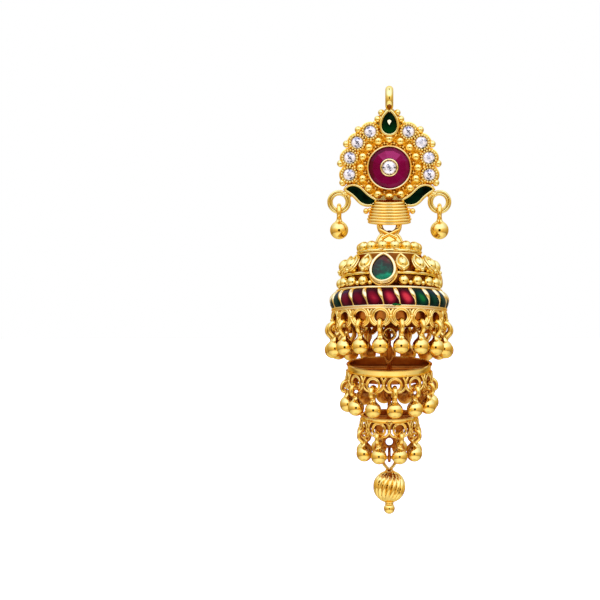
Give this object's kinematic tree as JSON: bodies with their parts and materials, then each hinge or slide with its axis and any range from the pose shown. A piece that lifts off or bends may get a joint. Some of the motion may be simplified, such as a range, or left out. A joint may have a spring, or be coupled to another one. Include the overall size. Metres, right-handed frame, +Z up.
{
  "type": "jhumka earring",
  "caption": "Gold drop earring: openwork stud plate with stones above a beaded, enamelled bell dome, two smaller crowns fringed with ball drops, and a fluted end bead.",
  "frame": {"origin": "back face of the head plate behind the ruby, where the ear post roots and the lobe lies", "axes": "+Z up along the hanging length, -Y to the front, +Y along the ear post"},
  "size_m": [0.021, 0.0248, 0.07],
  "materials": {
    "gold": "polished yellow gold",
    "red_stone": "polished faceted stone",
    "clear_stone": "faceted, clear",
    "green_stone": "polished stone",
    "green_enamel": "glossy fired enamel",
    "red_enamel": "glossy fired enamel"
  },
  "bodies": {
    "head": {"head_plate": "gold", "ear_post": "gold", "ruby_disc": "red_stone", "centre_zircon": "clear_stone", "plate_zircons": "clear_stone", "top_drop": "green_enamel", "leaf_left": "green_enamel", "leaf_right": "green_enamel", "side_drop_left": "gold", "side_drop_right": "gold"},
    "dome": {"dome": "gold", "dome_trim": "gold", "dome_rings": "gold", "enamel_red": "red_enamel", "enamel_green": "green_enamel", "emerald_1": "green_stone", "emerald_2": "green_stone", "emerald_3": "green_stone", "dome_drop_01": "gold", "dome_drop_02": "gold", "dome_drop_03": "gold", "dome_drop_04": "gold", "dome_drop_05": "gold", "dome_drop_06": "gold", "dome_drop_07": "gold", "dome_drop_08": "gold", "dome_drop_09": "gold", "dome_drop_10": "gold", "dome_drop_11": "gold", "dome_drop_12": "gold", "dome_drop_13": "gold", "dome_drop_14": "gold", "dome_drop_15": "gold", "dome_drop_16": "gold", "dome_drop_17": "gold"},
    "tier_two": {"tier_two_crown": "gold", "tier_two_drop_01": "gold", "tier_two_drop_02": "gold", "tier_two_drop_03": "gold", "tier_two_drop_04": "gold", "tier_two_drop_05": "gold", "tier_two_drop_06": "gold", "tier_two_drop_07": "gold", "tier_two_drop_08": "gold", "tier_two_drop_09": "gold", "tier_two_drop_10": "gold", "tier_two_drop_11": "gold", "tier_two_drop_12": "gold"},
    "tier_three": {"tier_three_crown": "gold", "tier_three_drop_01": "gold", "tier_three_drop_02": "gold", "tier_three_drop_03": "gold", "tier_three_drop_04": "gold", "tier_three_drop_05": "gold", "tier_three_drop_06": "gold", "tier_three_drop_07": "gold", "tier_three_drop_08": "gold"},
    "end_drop": {"end_drop": "gold"}
  },
  "joints": [
    {"name": "dome_swing", "type": "hinge", "parent": "head", "child": "dome", "pos_m": [0, -0.002, -0.0088], "axis": [0, 1, 0], "range_deg": [-15, 15]},
    {"name": "tier_two_swing", "type": "hinge", "parent": "dome", "child": "tier_two", "pos_m": [0, -0.00409, -0.02718], "axis": [0, 1, 0], "range_deg": [-8, 8]},
    {"name": "tier_three_swing", "type": "hinge", "parent": "tier_two", "child": "tier_three", "pos_m": [0, -0.00279, -0.0371], "axis": [0, 1, 0], "range_deg": [-12, 12]},
    {"name": "end_drop_swing", "type": "hinge", "parent": "tier_three", "child": "end_drop", "pos_m": [0, -0.00146, -0.04791], "axis": [0, 1, 0], "range_deg": [-25, 25]}
  ]
}
